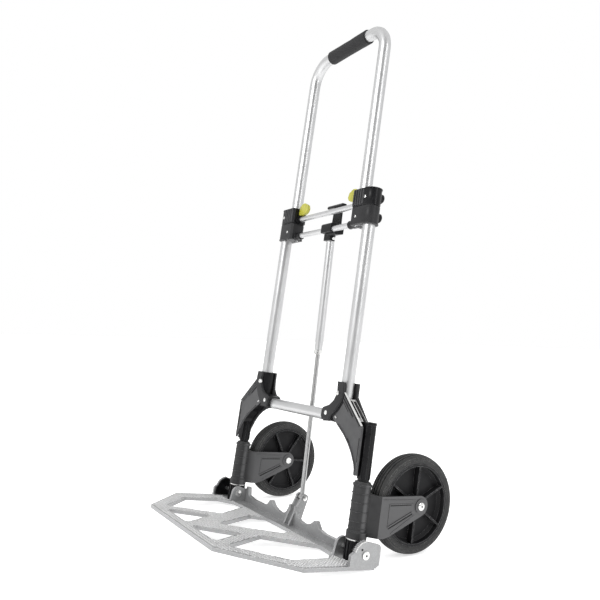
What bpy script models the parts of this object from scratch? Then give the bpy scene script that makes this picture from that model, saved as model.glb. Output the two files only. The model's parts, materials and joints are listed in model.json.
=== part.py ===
"""Folding luggage cart, modelled in metres with +Z up.

The cart is drawn upright in its own frame: X to the right, Y to the rear, Z along the tubes,
with zero height on the underside of the toe plate. One tilted empty leans the whole cart back
until the two wheels and the heel of the toe plate stand on the ground together.
"""
import math

import bmesh
import bpy
from mathutils import Matrix, Vector

# ---------------------------------------------------------------- driving dimensions
LEAN_DEG = 7.7             # how far the tubes lean back when the cart stands by itself
GAP = 0.0003               # clearance between neighbouring pieces

MAIN_TUBE_X = 0.154        # half distance between the main tubes
HANDLE_TUBE_X = 0.128      # half distance between the handle tubes
TUBE_R = 0.0125
TUBE_WALL = 0.0015
MAIN_TUBE_Z = (0.266, 0.682)
HANDLE_TUBE_BOTTOM = 0.612
HANDLE_BAR_Z = 1.0410      # axis of the top bar of the handle
HANDLE_BEND_R = 0.050

GRIP_R = 0.0152
GRIP_HALF_LENGTH = 0.067

CROSS_TUBE_R = 0.006
UPPER_CROSS_Z = 0.6589
LOWER_CROSS_Z = 0.6202
UPPER_BLOCK_Z = (0.6496, 0.685)
LOWER_BLOCK_Z = (0.6125, 0.6493)
BLOCK_R = 0.0172           # outer radius of the blocks around each tube
BLOCK_FACE_X = MAIN_TUBE_X - 0.0425
SOCKET_R = 0.009
BUMPER_R = 0.0095
LEVER_PIVOT = (0.1040, 0.6745)

CROSSBAR_Z = 0.2394
CROSSBAR_R = 0.011
CROSSBAR_HALF = 0.113
BRACKET_TOP = 0.306
BRACKET_Y = (0.0130, 0.0165)   # inner and outer face of each half of the side bracket
COLLAR_R = 0.0178
COLLAR_HALF_DEG = 45       # the closed inner side of the collar, each way from its middle
STRIP_REAR_Y = 0.0085
BOLT_SEAT = 0.0160

POST_X = 0.2265            # upright hinge post of each wheel fork
POST_Y = 0.006
POST_PIN_R = 0.006
BARREL_R = 0.0115
BARREL_Z = (0.1385, 0.236)
SLEEVE_R = 0.0158
SLEEVE_Z = (0.0411, 0.138)
WASHER_Z = (0.0390, 0.0408)
FOOT_BLOCK_Z = (0.0045, 0.0387)
FOOT_BLOCK_R = 0.0185

WHEEL_X = 0.2308
WHEEL_Y = 0.1202
WHEEL_Z = 0.1042
WHEEL_R = 0.090
TYRE_HALF_WIDTH = 0.0178
RIM_R = 0.0735
AXLE_R = 0.005
ARM_X = (0.0205, 0.0255)   # fork arm, measured from the middle of the wheel
HUB_BOSS_R = 0.018

PLATE_T = 0.0065
PLATE_HALF_WIDTH = 0.2690
PLATE_HEEL_Y = 0.0212
PIVOT_Y = -0.0030          # hinge line of the toe plate
PIVOT_Z = 0.0240
PIVOT_BOLT_R = 0.004
EAR_R = 0.015
WINDOW_X = 0.2455
SECTOR_X = 0.2625           # inner face of the toothed outer ear
SECTOR_R = 0.0245
INNER_EAR_X = (0.1995, 0.2050)
RIDGE_Y = (0.0165, 0.0250)

ROD_R = 0.0048
ROD_TOP_Z = 0.400
ROD_TILT = 0.032           # forward shift of the rod for each metre of height
ROD_TUBE_R = 0.0085
ROD_TUBE_WALL = 0.0012
ROD_TUBE_Z = (0.358, 0.612)
EYE_Y = 0.0366
EYE_Z = 0.0605
EYE_R = 0.0062
YOKE_R = 0.0088            # half width of the slot that holds the top of the guide tube

# ---------------------------------------------------------------- clean start
for old in list(bpy.data.objects):
    bpy.data.objects.remove(old)

cart = bpy.data.collections.new("folding_luggage_cart")
bpy.context.scene.collection.children.link(cart)
tools = bpy.data.collections.new("cutters")
bpy.context.scene.collection.children.link(tools)


# ---------------------------------------------------------------- materials
def make_material(name, colour, roughness, metallic=0.0):
    material = bpy.data.materials.new(name)
    material.use_nodes = True
    shader = material.node_tree.nodes["Principled BSDF"]
    shader.inputs["Base Color"].default_value = (*colour, 1.0)
    shader.inputs["Roughness"].default_value = roughness
    shader.inputs["Metallic"].default_value = metallic
    material.diffuse_color = (*colour, 1.0)
    return material


tube_metal = make_material("anodised_aluminium", (0.78, 0.79, 0.80), 0.32, 1.0)
cast_metal = make_material("cast_aluminium", (0.56, 0.57, 0.58), 0.48, 1.0)
bright_steel = make_material("zinc_steel", (0.82, 0.82, 0.83), 0.25, 1.0)
dark_plastic = make_material("dark_grey_plastic", (0.075, 0.077, 0.080), 0.55)
black_plastic = make_material("black_plastic", (0.022, 0.022, 0.024), 0.45)
foam = make_material("black_foam", (0.035, 0.035, 0.037), 0.9)
rubber = make_material("tyre_rubber", (0.06, 0.06, 0.062), 0.75)
lever_plastic = make_material("green_plastic", (0.55, 0.62, 0.03), 0.4)


# ---------------------------------------------------------------- outlines
def arc(centre, radius, start_deg, end_deg, steps):
    """Points on an arc, both ends included."""
    points = []
    for i in range(steps + 1):
        angle = math.radians(start_deg + (end_deg - start_deg) * i / steps)
        points.append((centre[0] + radius * math.cos(angle), centre[1] + radius * math.sin(angle)))
    return points


def rounded(points, radius, steps=3):
    """The closed outline with every corner turned into a small arc."""
    result = []
    count = len(points)
    for i in range(count):
        corner = Vector(points[i])
        before = Vector(points[i - 1]) - corner
        after = Vector(points[(i + 1) % count]) - corner
        half = before.angle(after) / 2
        reach = min(radius / math.tan(half), before.length * 0.45, after.length * 0.45)
        first = corner + before.normalized() * reach
        last = corner + after.normalized() * reach
        for k in range(steps + 1):
            t = k / steps
            curve = first * (1 - t) ** 2 + corner * 2 * t * (1 - t) + last * t ** 2
            result.append((curve.x, curve.y))
    return result


def mirrored(points):
    """A half outline continued by its mirror image in the vertical axis."""
    return points + [(-x, y) for x, y in reversed(points)]


# ---------------------------------------------------------------- solids
def add_object(name, data, material=None):
    piece = bpy.data.objects.new(name, data)
    cart.objects.link(piece)
    if material:
        data.materials.append(material)
    return piece


def smooth(piece, angle_deg=35):
    piece.data.shade_smooth()
    piece.data.set_sharp_from_angle(angle=math.radians(angle_deg))
    return piece


def mesh_from(piece):
    """Replace a curve, or a piece with modifiers, by its welded closed mesh."""
    bpy.context.view_layer.update()
    evaluated = piece.evaluated_get(bpy.context.evaluated_depsgraph_get())
    mesh = bpy.data.meshes.new_from_object(evaluated)
    work = bmesh.new()
    work.from_mesh(mesh)
    bmesh.ops.remove_doubles(work, verts=work.verts, dist=0.00001)
    bmesh.ops.recalc_face_normals(work, faces=work.faces)
    work.to_mesh(mesh)
    work.free()
    name = piece.name
    matrix = piece.matrix_world.copy()
    bpy.data.objects.remove(piece)
    result = bpy.data.objects.new(name, mesh)
    cart.objects.link(result)
    result.matrix_world = matrix
    return result


def frame_along(start, end):
    """Matrix that puts local +Z along start to end, with its origin half way."""
    start = Vector(start)
    end = Vector(end)
    turn = (end - start).to_track_quat("Z", "Y").to_matrix().to_4x4()
    return Matrix.Translation((start + end) / 2) @ turn


def cylinder(name, radius, start, end, material=None, segments=28):
    length = (Vector(end) - Vector(start)).length
    work = bmesh.new()
    bmesh.ops.create_cone(work, cap_ends=True, segments=segments, radius1=radius, radius2=radius,
                          depth=length)
    bmesh.ops.transform(work, matrix=frame_along(start, end), verts=work.verts)
    mesh = bpy.data.meshes.new(name)
    work.to_mesh(mesh)
    work.free()
    return smooth(add_object(name, mesh, material))


def box(name, low, high, material=None):
    work = bmesh.new()
    bmesh.ops.create_cube(work, size=1.0)
    size = Vector(high) - Vector(low)
    middle = (Vector(high) + Vector(low)) / 2
    bmesh.ops.transform(work, matrix=Matrix.Translation(middle) @ Matrix.Diagonal((*size, 1.0)),
                        verts=work.verts)
    mesh = bpy.data.meshes.new(name)
    work.to_mesh(mesh)
    work.free()
    return add_object(name, mesh, material)


PLANES = {
    "xy": Matrix.Identity(4),
    "xz": Matrix.Rotation(math.radians(90), 4, "X"),
    "yz": Matrix.Rotation(math.radians(90), 4, "Z") @ Matrix.Rotation(math.radians(90), 4, "X"),
}
NORMALS = {"xy": Vector((0, 0, 1)), "xz": Vector((0, 1, 0)), "yz": Vector((1, 0, 0))}


def slab(name, loops, plane, low, high, material=None, bevel=0.0):
    """A flat outline, with holes if there are more loops, filled and extruded from low to high."""
    curve = bpy.data.curves.new(name, "CURVE")
    curve.dimensions = "2D"
    curve.fill_mode = "BOTH"
    curve.extrude = (high - low) / 2
    for loop in loops:
        spline = curve.splines.new("POLY")
        spline.points.add(len(loop) - 1)
        for point, (u, v) in zip(spline.points, loop):
            point.co = (u, v, 0.0, 1.0)
        spline.use_cyclic_u = True
    piece = add_object(name, curve)
    piece.matrix_world = Matrix.Translation(NORMALS[plane] * (high + low) / 2) @ PLANES[plane]
    piece = mesh_from(piece)
    piece.data.transform(piece.matrix_world)
    piece.matrix_world = Matrix.Identity(4)
    if material:
        piece.data.materials.append(material)
    smooth(piece, 30)
    if bevel:
        edge = piece.modifiers.new("bevel", "BEVEL")
        edge.width = bevel
        edge.segments = 1
        edge.limit_method = "ANGLE"
        edge.angle_limit = math.radians(50)
    return piece


def turned(name, profile, start, end, material=None, segments=48, ring=False):
    """A profile of (radius, height) points, outer side top to bottom, spun about start to end."""
    work = bmesh.new()
    points = [work.verts.new((radius, 0.0, height)) for radius, height in profile]
    for first, second in zip(points, points[1:]):
        work.edges.new((first, second))
    if ring:
        work.edges.new((points[-1], points[0]))
    mesh = bpy.data.meshes.new(name)
    work.to_mesh(mesh)
    work.free()
    piece = add_object(name, mesh)
    spin = piece.modifiers.new("spin", "SCREW")
    spin.steps = segments
    spin.render_steps = segments
    spin.use_merge_vertices = True
    spin.merge_threshold = 0.00001
    piece = mesh_from(piece)
    turn = (Vector(end) - Vector(start)).to_track_quat("Z", "Y").to_matrix().to_4x4()
    piece.data.transform(Matrix.Translation(Vector(start)) @ turn)
    if material:
        piece.data.materials.append(material)
    return smooth(piece)


def pipe(name, radius, wall, start, end, material, segments=32):
    length = (Vector(end) - Vector(start)).length
    profile = [(radius, length), (radius, 0.0), (radius - wall, 0.0), (radius - wall, length)]
    return turned(name, profile, start, end, material, segments, ring=True)


def as_tool(piece):
    """Move a piece to the cutters, which are not part of the cart."""
    cart.objects.unlink(piece)
    tools.objects.link(piece)
    piece.hide_render = True
    piece.display_type = "WIRE"
    return piece


def combine(piece, other, operation):
    other.parent = piece
    boolean = piece.modifiers.new(operation.lower(), "BOOLEAN")
    boolean.operation = operation
    boolean.solver = "EXACT"
    boolean.object = as_tool(other)
    return piece


def cut(piece, other):
    return combine(piece, other, "DIFFERENCE")


def join(piece, other):
    return combine(piece, other, "UNION")


# ---------------------------------------------------------------- joints as empties
def make_empty(name, position=(0, 0, 0), parent=None):
    empty = bpy.data.objects.new(name, None)
    empty.empty_display_size = 0.03
    cart.objects.link(empty)
    empty["cart_position"] = position
    if parent:
        empty.parent = parent
        empty.location = Vector(position) - Vector(parent["cart_position"])
    return empty


def ride(piece, empty):
    """Parent a piece whose mesh is drawn in the cart's frame."""
    piece.parent = empty
    piece.location = -Vector(empty["cart_position"])
    return piece


lean = math.radians(LEAN_DEG)
heel_drop = PLATE_HEEL_Y * math.sin(lean)
wheel_drop = WHEEL_Y * math.sin(lean) - WHEEL_Z * math.cos(lean) + WHEEL_R
rear_reach = WHEEL_Y * math.cos(lean) + WHEEL_Z * math.sin(lean) + WHEEL_R
front_reach = 0.2282 * math.cos(lean)
base = make_empty("cart_frame")
base.rotation_euler = (-lean, 0, 0)
base.location = (0, (front_reach - rear_reach) / 2, max(heel_drop, wheel_drop))

plate_joint = make_empty("plate_fold_axis", (0, PIVOT_Y, PIVOT_Z), base)
rod_joint = make_empty("push_rod_axis", (0, EYE_Y, EYE_Z), base)
guide_joint = make_empty("guide_tube_axis", (0, EYE_Y, EYE_Z), rod_joint)
handle_joint = make_empty("handle_slide_axis", (0, 0, LOWER_CROSS_Z), rod_joint)


# ---------------------------------------------------------------- frame
def main_tube(side, tag):
    x = side * MAIN_TUBE_X
    tube = pipe("main_tube_" + tag, TUBE_R, TUBE_WALL, (x, 0, MAIN_TUBE_Z[0]),
                (x, 0, MAIN_TUBE_Z[1]), tube_metal)
    ride(tube, base)


def bracket_outline(side):
    """Front view of the side bracket: collar, crossbar arm, arched web and post side."""
    arch = arc((0.118, 0.118), 0.1115, 82, 26, 8)
    points = [(MAIN_TUBE_X + COLLAR_R, BRACKET_TOP), (MAIN_TUBE_X + COLLAR_R, 0.281),
              (0.2050, 0.2440), (0.2130, 0.2365), (0.2190, 0.2350), (0.2235, 0.2300),
              (0.2250, 0.1450), (0.2225, 0.1450)]
    points += list(reversed(arch))
    points += [(0.1070, 0.2270), (0.1030, 0.2320), (0.1030, 0.2480), (0.1080, 0.2535),
               (0.1240, 0.2580), (0.1335, 0.2700), (MAIN_TUBE_X - COLLAR_R, 0.2880),
               (MAIN_TUBE_X - COLLAR_R, BRACKET_TOP)]
    return [(side * x, z) for x, z in points]


def side_bracket(side, tag):
    x = side * MAIN_TUBE_X
    post = side * POST_X
    inner, outer = BRACKET_Y
    for face, low, high in (("front", -outer, -inner), ("rear", inner, outer)):
        name = "bracket_" + face + "_" + tag
        shell = slab(name, [bracket_outline(side)], "xz", low, high, dark_plastic, bevel=0.0012)
        bulge = cylinder(name + "_collar", COLLAR_R, (x, 0, 0.252), (x, 0, BRACKET_TOP))
        cut(bulge, box(name + "_half", (x - 0.03, -inner if face == "front" else -0.03, 0.2),
                       (x + 0.03, 0.03 if face == "front" else inner, 0.35)))
        join(shell, bulge)
        cut(shell, cylinder(name + "_post", BARREL_R + GAP, (post, POST_Y, 0.12), (post, POST_Y, 0.26)))
        if face == "front":
            cut(shell, cylinder(name + "_seat", 0.0050, (side * 0.1480, -BOLT_SEAT, 0.2835),
                                (side * 0.1480, -0.03, 0.2835), segments=20))
        ride(shell, base)

    core_points = [(0.1600, 0.2590), (0.1700, 0.2650), (0.2120, 0.2330), (0.2140, 0.2250),
                   (0.2140, 0.1830), (0.2070, 0.1940), (0.1880, 0.2120), (0.1600, 0.2285),
                   (0.1300, 0.2315), (0.1080, 0.2275), (0.1036, 0.2325), (0.1036, 0.2475),
                   (0.1085, 0.2530), (0.1245, 0.2575), (0.1420, 0.2580)]
    slot_points = [(0.1760, 0.2520), (0.2030, 0.2290), (0.2000, 0.2255), (0.1730, 0.2485)]
    loops = [rounded([(side * u, v) for u, v in outline], 0.002)
             for outline in (core_points, slot_points)]
    core = slab("bracket_core_" + tag, loops, "xz", -inner + GAP, inner - GAP, black_plastic)
    collar = arc((0, 0), COLLAR_R, 180 + COLLAR_HALF_DEG, 180 - COLLAR_HALF_DEG, 8)
    collar += arc((0, 0), TUBE_R + GAP, 100, 260, 12)
    collar = [(side * (MAIN_TUBE_X + u), v) for u, v in collar]
    join(core, slab("bracket_collar_" + tag, [collar], "xy", 0.2500, BRACKET_TOP - 0.0010))
    cut(core, cylinder("bracket_socket_" + tag, CROSSBAR_R + GAP, (side * 0.09, 0, CROSSBAR_Z),
                       (side * (CROSSBAR_HALF + GAP), 0, CROSSBAR_Z)))
    ride(core, base)

    strip_points = [(0.1712, 0.2742), (0.1736, 0.2766), (0.2148, 0.2412), (0.2124, 0.2384)]
    slot_points = [(0.1755, 0.2680), (0.1805, 0.2740), (0.2065, 0.2515), (0.2015, 0.2455)]
    strip, gap = ([(side * u, v) for u, v in outline] for outline in (strip_points, slot_points))
    strip = slab("brace_strip_" + tag, [strip], "xz", -inner + GAP, STRIP_REAR_Y, bright_steel)
    cut(strip, slab("brace_slot_" + tag, [gap], "xz", -0.0098, STRIP_REAR_Y - 0.0032))
    ride(strip, base)

    for number, (bolt_x, bolt_z) in enumerate(((0.1480, 0.2835), (0.1185, 0.2440)), start=1):
        face_y = -BOLT_SEAT if number == 1 else -outer
        name = "bracket_bolt_" + tag + "_" + str(number)
        profile = [(0.0, 0.0022), (0.0026, 0.0019), (0.0044, 0.0008), (0.0044, 0.0), (0.0, 0.0)]
        bolt = turned(name, profile, (side * bolt_x, face_y - GAP, bolt_z),
                      (side * bolt_x, face_y - 0.01, bolt_z), bright_steel, 20)
        ride(bolt, base)


def post_and_foot(side, tag):
    x = side * POST_X
    barrel_profile = [(POST_PIN_R + GAP, BARREL_Z[1]), (BARREL_R, BARREL_Z[1]),
                      (BARREL_R, BARREL_Z[1] - 0.045), (BARREL_R - 0.0012, BARREL_Z[0]),
                      (POST_PIN_R + GAP, BARREL_Z[0])]
    ride(turned("post_barrel_" + tag, barrel_profile, (x, POST_Y, 0), (x, POST_Y, 1),
                black_plastic, 32, ring=True), base)

    pin_profile = [(0.0, 0.2400), (0.0070, 0.2400), (0.0095, 0.2385), (0.0095, 0.2363),
                   (POST_PIN_R, 0.2363), (POST_PIN_R, 0.0100), (0.0, 0.0100)]
    ride(turned("post_pin_" + tag, pin_profile, (x, POST_Y, 0), (x, POST_Y, 1), bright_steel, 24),
         base)

    washer = pipe("thrust_washer_" + tag, 0.0172, 0.0172 - POST_PIN_R - GAP,
                  (x, POST_Y, WASHER_Z[0]), (x, POST_Y, WASHER_Z[1]), bright_steel)
    ride(washer, base)

    ribs = 16
    outline = []
    for i in range(ribs):
        for share, radius in ((0.0, 1.0), (0.45, 1.0), (0.5, 0.88), (0.95, 0.88)):
            angle = 2 * math.pi * (i + share) / ribs
            reach = FOOT_BLOCK_R * radius
            outline.append((x + reach * math.cos(angle), POST_Y + reach * math.sin(angle)))
    block = slab("foot_block_" + tag, [outline], "xy", *FOOT_BLOCK_Z, black_plastic)
    cut(block, cylinder("foot_bore_" + tag, POST_PIN_R + GAP, (x, POST_Y, 0.0097), (x, POST_Y, 0.05)))
    cut(block, cylinder("foot_cross_" + tag, PIVOT_BOLT_R + GAP, (x - 0.03, PIVOT_Y, PIVOT_Z),
                        (x + 0.03, PIVOT_Y, PIVOT_Z)))
    ride(block, base)

    head = 0.0024
    sides = (("outer", PLATE_HALF_WIDTH, POST_X + 0.0085, 1), ("inner", INNER_EAR_X[0], POST_X - 0.0085, -1))
    for place, face_x, tip_x, way in sides:
        length = abs(face_x - tip_x) + head + GAP
        profile = [(0.0, length), (0.0035, length), (0.0072, length - 0.0010),
                   (0.0072, length - head), (PIVOT_BOLT_R, length - head), (PIVOT_BOLT_R, 0.0), (0.0, 0.0)]
        bolt = turned("pivot_bolt_" + place + "_" + tag, profile, (side * tip_x, PIVOT_Y, PIVOT_Z),
                      (side * (tip_x + way), PIVOT_Y, PIVOT_Z), bright_steel, 24)
        ride(bolt, base)


def block_outline(side):
    """Plan of a tube block: a round end about each tube, joined by flat faces."""
    outer = arc((MAIN_TUBE_X, 0), BLOCK_R, -90, 90, 8)
    inner = [(BLOCK_FACE_X + 0.004, BLOCK_R), (BLOCK_FACE_X, BLOCK_R - 0.004),
             (BLOCK_FACE_X, -BLOCK_R + 0.004), (BLOCK_FACE_X + 0.004, -BLOCK_R)]
    return [(side * x, y) for x, y in outer + inner]


def block_socket(name, side, z):
    return cylinder(name, SOCKET_R, (side * (BLOCK_FACE_X - 0.006), 0, z),
                    (side * (BLOCK_FACE_X + 0.004), 0, z), segments=24)


def cross_bore(name, side, z):
    return cylinder(name, CROSS_TUBE_R + GAP, (0, 0, z), (side * (BLOCK_FACE_X + 0.0012), 0, z),
                    segments=24)


def upper_block(side, tag):
    name = "upper_block_" + tag
    main_x = side * MAIN_TUBE_X
    handle_x = side * HANDLE_TUBE_X
    block = slab(name, [block_outline(side)], "xy", *UPPER_BLOCK_Z, black_plastic, bevel=0.0012)
    join(block, block_socket(name + "_socket", side, UPPER_CROSS_Z))
    cut(block, cylinder(name + "_main", TUBE_R + GAP, (main_x, 0, 0.6), (main_x, 0, MAIN_TUBE_Z[1] + GAP)))
    cut(block, cylinder(name + "_handle", TUBE_R + GAP, (handle_x, 0, 0.6), (handle_x, 0, 0.75)))
    cut(block, cross_bore(name + "_cross", side, UPPER_CROSS_Z))
    ride(block, base)
    ride(rear_bumper("rear_bumper_upper_" + tag, side * 0.1500, 0.6715), base)


def rear_bumper(name, x, z):
    profile = [(0.0, 0.0095), (BUMPER_R - 0.002, 0.0095), (BUMPER_R, 0.0075), (BUMPER_R, 0.0), (0.0, 0.0)]
    return turned(name, profile, (x, BLOCK_R + GAP, z), (x, 1, z), black_plastic, 24)


def release_lever(side, tag):
    pivot = (side * LEVER_PIVOT[0], 0.0, LEVER_PIVOT[1])
    joint = make_empty("lever_axis_" + tag, pivot, base)
    outline = arc(LEVER_PIVOT, 0.0060, -100, 10, 5)
    outline += [(0.1088, 0.6880), (0.1000, 0.6945), (0.0905, 0.6955), (0.0790, 0.6892),
                (0.0756, 0.6800), (0.0790, 0.6732), (0.0870, 0.6694)]
    outline = [(side * x, z) for x, z in rounded(outline, 0.0015, 2)]
    lever = slab("release_lever_" + tag, [outline], "xz", -0.0036, 0.0036, lever_plastic, bevel=0.0010)
    ride(lever, joint)


def hook_plate():
    neck = [(0.0200, 0.6210), (0.0200, 0.6370), (0.0150, 0.6420), (0.0135, 0.6790), (-0.0135, 0.6790),
            (-0.0150, 0.6420), (-0.0200, 0.6370), (-0.0200, 0.6210)]
    plate = slab("hook_plate", [neck], "xz", 0.0262, 0.0312, black_plastic)
    lip = [(0.0180, 0.6765), (0.0312, 0.6765), (0.0316, 0.6800), (0.0290, 0.6835), (0.0190, 0.6830),
           (0.0165, 0.6795)]
    join(plate, slab("hook_lip", [lip], "yz", -0.0265, 0.0265))
    ride(plate, handle_joint)


# ---------------------------------------------------------------- toe plate
def ridge_outline():
    """Rear view of the upright ridge: a flared centre lug and a small knuckle on each side."""
    half = [(0.0066, 0.0440), (0.0120, 0.0440), (0.0150, 0.0360), (0.0210, 0.0270),
            (0.0300, 0.0215), (0.0450, 0.0195), (0.0600, 0.0215), (0.0720, 0.0260)]
    half += arc((0.0860, 0.0265), 0.0085, 150, 20, 5)
    half += [(0.1010, 0.0225), (0.1200, 0.0190), (0.1600, 0.0190), (0.1860, 0.0230),
             (0.1900, 0.0400), (0.1990, 0.0400), (0.1990, 0.0030), (0.0066, 0.0030)]
    return half


def toe_plate():
    front = 0.2282
    outline = [(0.0, -front), (0.1484, -front), (PLATE_HALF_WIDTH, -0.1241),
               (PLATE_HALF_WIDTH, PLATE_HEEL_Y), (WINDOW_X, PLATE_HEEL_Y),
               (WINDOW_X, -0.0180), (INNER_EAR_X[1], -0.0180), (INNER_EAR_X[1], PLATE_HEEL_Y),
               (0.0, PLATE_HEEL_Y)]
    long_slot = [(0.1400, -0.1950), (0.2230, -0.1190), (0.2190, -0.0420), (0.1880, -0.0160),
                 (0.1480, -0.0110), (0.0830, -0.0990)]
    front_slot = [(0.0160, -0.2010), (0.0660, -0.1330), (0.1080, -0.2000), (0.0980, -0.2065),
                  (0.0240, -0.2065)]
    centre_slot = [(0.0, -0.1450), (0.0650, -0.0400), (0.0500, -0.0110)]
    left = [(-x, y) for x, y in reversed(outline[1:-1])]
    whole = rounded(outline[1:-1] + left, 0.004)
    loops = [whole, rounded(mirrored(centre_slot[1:]) + [centre_slot[0]], 0.006)]
    for slot in (long_slot, front_slot):
        loops.append(rounded(slot, 0.006))
        loops.append(rounded([(-x, y) for x, y in reversed(slot)], 0.006))
    plate = slab("toe_plate", loops, "xy", 0.0, PLATE_T, cast_metal)

    for side in (-1, 1):
        tag = "R" if side > 0 else "L"
        ridge = [(side * x, z) for x, z in ridge_outline()]
        join(plate, slab("plate_ridge_" + tag, [ridge], "xz", *RIDGE_Y))
        cheek = arc((EYE_Y, EYE_Z), 0.0085, 0, 180, 8)
        cheek += [(0.0150, 0.0300), (0.0060, 0.0050), (0.0250, 0.0050), (0.0350, 0.0200)]
        low, high = sorted((side * 0.0068, side * 0.0112))
        join(plate, slab("plate_cheek_" + tag, [cheek], "yz", low, high))

        inner_ear = arc((PIVOT_Y, PIVOT_Z), EAR_R, 180, 60, 8)
        inner_ear += [(0.0110, 0.0345), (0.0240, 0.0345), (0.0240, 0.0030), (-0.0215, 0.0030)]
        low, high = sorted((side * INNER_EAR_X[0], side * INNER_EAR_X[1]))
        join(plate, slab("plate_inner_ear_" + tag, [inner_ear], "yz", low, high))

        ear = [(0.0252, 0.0412), (0.0285, 0.0375), (0.0285, 0.0075), (0.0212, 0.0030),
               (-0.0340, 0.0030), (-0.0335, 0.0240)]
        count = 9
        for i in range(count):
            for share, reach in ((0.0, 0.93), (0.25, 1.0), (0.55, 1.0), (0.8, 0.93)):
                angle = math.radians(165 - 72 * (i + share) / count)
                radius = SECTOR_R * reach
                ear.append((PIVOT_Y + radius * math.cos(angle), PIVOT_Z + radius * math.sin(angle)))
        low, high = sorted((side * SECTOR_X, side * PLATE_HALF_WIDTH))
        join(plate, slab("plate_sector_" + tag, [ear], "yz", low, high))

    cut(plate, cylinder("plate_pivot_bore", PIVOT_BOLT_R + GAP, (-0.3, PIVOT_Y, PIVOT_Z),
                        (0.3, PIVOT_Y, PIVOT_Z)))
    cut(plate, cylinder("plate_eye_bore", 0.003 + GAP, (-0.02, EYE_Y, EYE_Z), (0.02, EYE_Y, EYE_Z),
                        segments=16))
    ride(plate, plate_joint)
    for side, tag in ((-1, "L"), (1, "R")):
        profile = [(0.0, 0.0064), (0.0030, 0.0064), (0.0052, 0.0056), (0.0052, 0.0046),
                   (0.0030, 0.0046), (0.0030, 0.0), (0.0, 0.0)]
        stud = turned("lug_pin_" + tag, profile, (side * 0.0070, EYE_Y, EYE_Z), (side, EYE_Y, EYE_Z),
                      bright_steel, 20)
        ride(stud, plate_joint)


# ---------------------------------------------------------------- wheels and forks
def arm_outline():
    """Side view of the fork: a broad tapering plate that ends in the round hub boss."""
    hub = arc((WHEEL_Y, WHEEL_Z), HUB_BOSS_R, -63, 90, 12)
    return [(-0.0100, 0.1165), (-0.0100, 0.0470), (0.0420, 0.0470), (0.0535, 0.0505)] + hub


def wheel_fork(side, tag, joint):
    name = "wheel_fork_" + tag
    post = side * POST_X
    centre = side * WHEEL_X
    profile = [(0.0, SLEEVE_Z[1]), (SLEEVE_R - 0.002, SLEEVE_Z[1]), (SLEEVE_R, 0.1330),
               (SLEEVE_R + 0.0006, 0.0550), (SLEEVE_R + 0.0026, 0.0530), (SLEEVE_R + 0.0026, SLEEVE_Z[0]),
               (0.0, SLEEVE_Z[0])]
    inner, outer = ARM_X
    tip = WHEEL_Y + 0.03
    plan = [(-outer, tip), (-outer, 0.0290), (-0.0185, 0.0130), (-0.0135, 0.0050),
            (0.0060, 0.0050), (0.0110, 0.0130), (outer, 0.0290), (outer, tip),
            (inner, tip), (inner, 0.0275), (-inner, 0.0275), (-inner, tip)]
    plan = [(side * (WHEEL_X + u), v) for u, v in plan]
    fork = slab(name, [plan], "xy", 0.03, 0.15, dark_plastic)
    trim = slab(name + "_side", [arm_outline()], "yz", centre - 0.04, centre + 0.04)
    combine(fork, trim, "INTERSECT")
    join(fork, turned(name + "_sleeve", profile, (post, POST_Y, 0), (post, POST_Y, 1), None, 32))
    for place in (-1, 1):
        join(fork, cylinder(name + "_boss" + str(place), 0.0125,
                            (centre + place * (inner - 0.0012), WHEEL_Y, WHEEL_Z),
                            (centre + place * (outer + 0.0022), WHEEL_Y, WHEEL_Z)))
    cut(fork, cylinder(name + "_pin_bore", POST_PIN_R + GAP, (post, POST_Y, 0.02), (post, POST_Y, 0.16)))
    cut(fork, cylinder(name + "_axle_bore", AXLE_R + GAP, (centre - 0.04, WHEEL_Y, WHEEL_Z),
                       (centre + 0.04, WHEEL_Y, WHEEL_Z), segments=24))
    ride(fork, joint)

    reach = outer + 0.0022 + GAP
    head = [(0.0, 0.0026), (0.0045, 0.0026), (0.0072, 0.0012), (0.0072, 0.0)]
    bolt = [(radius, height + 2 * reach) for radius, height in head]
    bolt += [(AXLE_R, 2 * reach), (AXLE_R, -0.0030), (0.0, -0.0030)]
    ride(turned("axle_" + tag, bolt, (side * (WHEEL_X - reach), WHEEL_Y, WHEEL_Z),
                (side, WHEEL_Y, WHEEL_Z), bright_steel, 24), joint)
    nut = cylinder("axle_nut_" + tag, 0.0074, (side * (WHEEL_X - reach - 0.0042), WHEEL_Y, WHEEL_Z),
                   (side * (WHEEL_X - reach), WHEEL_Y, WHEEL_Z), bright_steel, segments=6)
    nut.data.set_sharp_from_angle(angle=math.radians(20))
    cut(nut, cylinder("nut_bore_" + tag, AXLE_R + 0.0001, (side * 0.15, WHEEL_Y, WHEEL_Z),
                      (side * 0.26, WHEEL_Y, WHEEL_Z), segments=24))
    ride(nut, joint)


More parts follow.
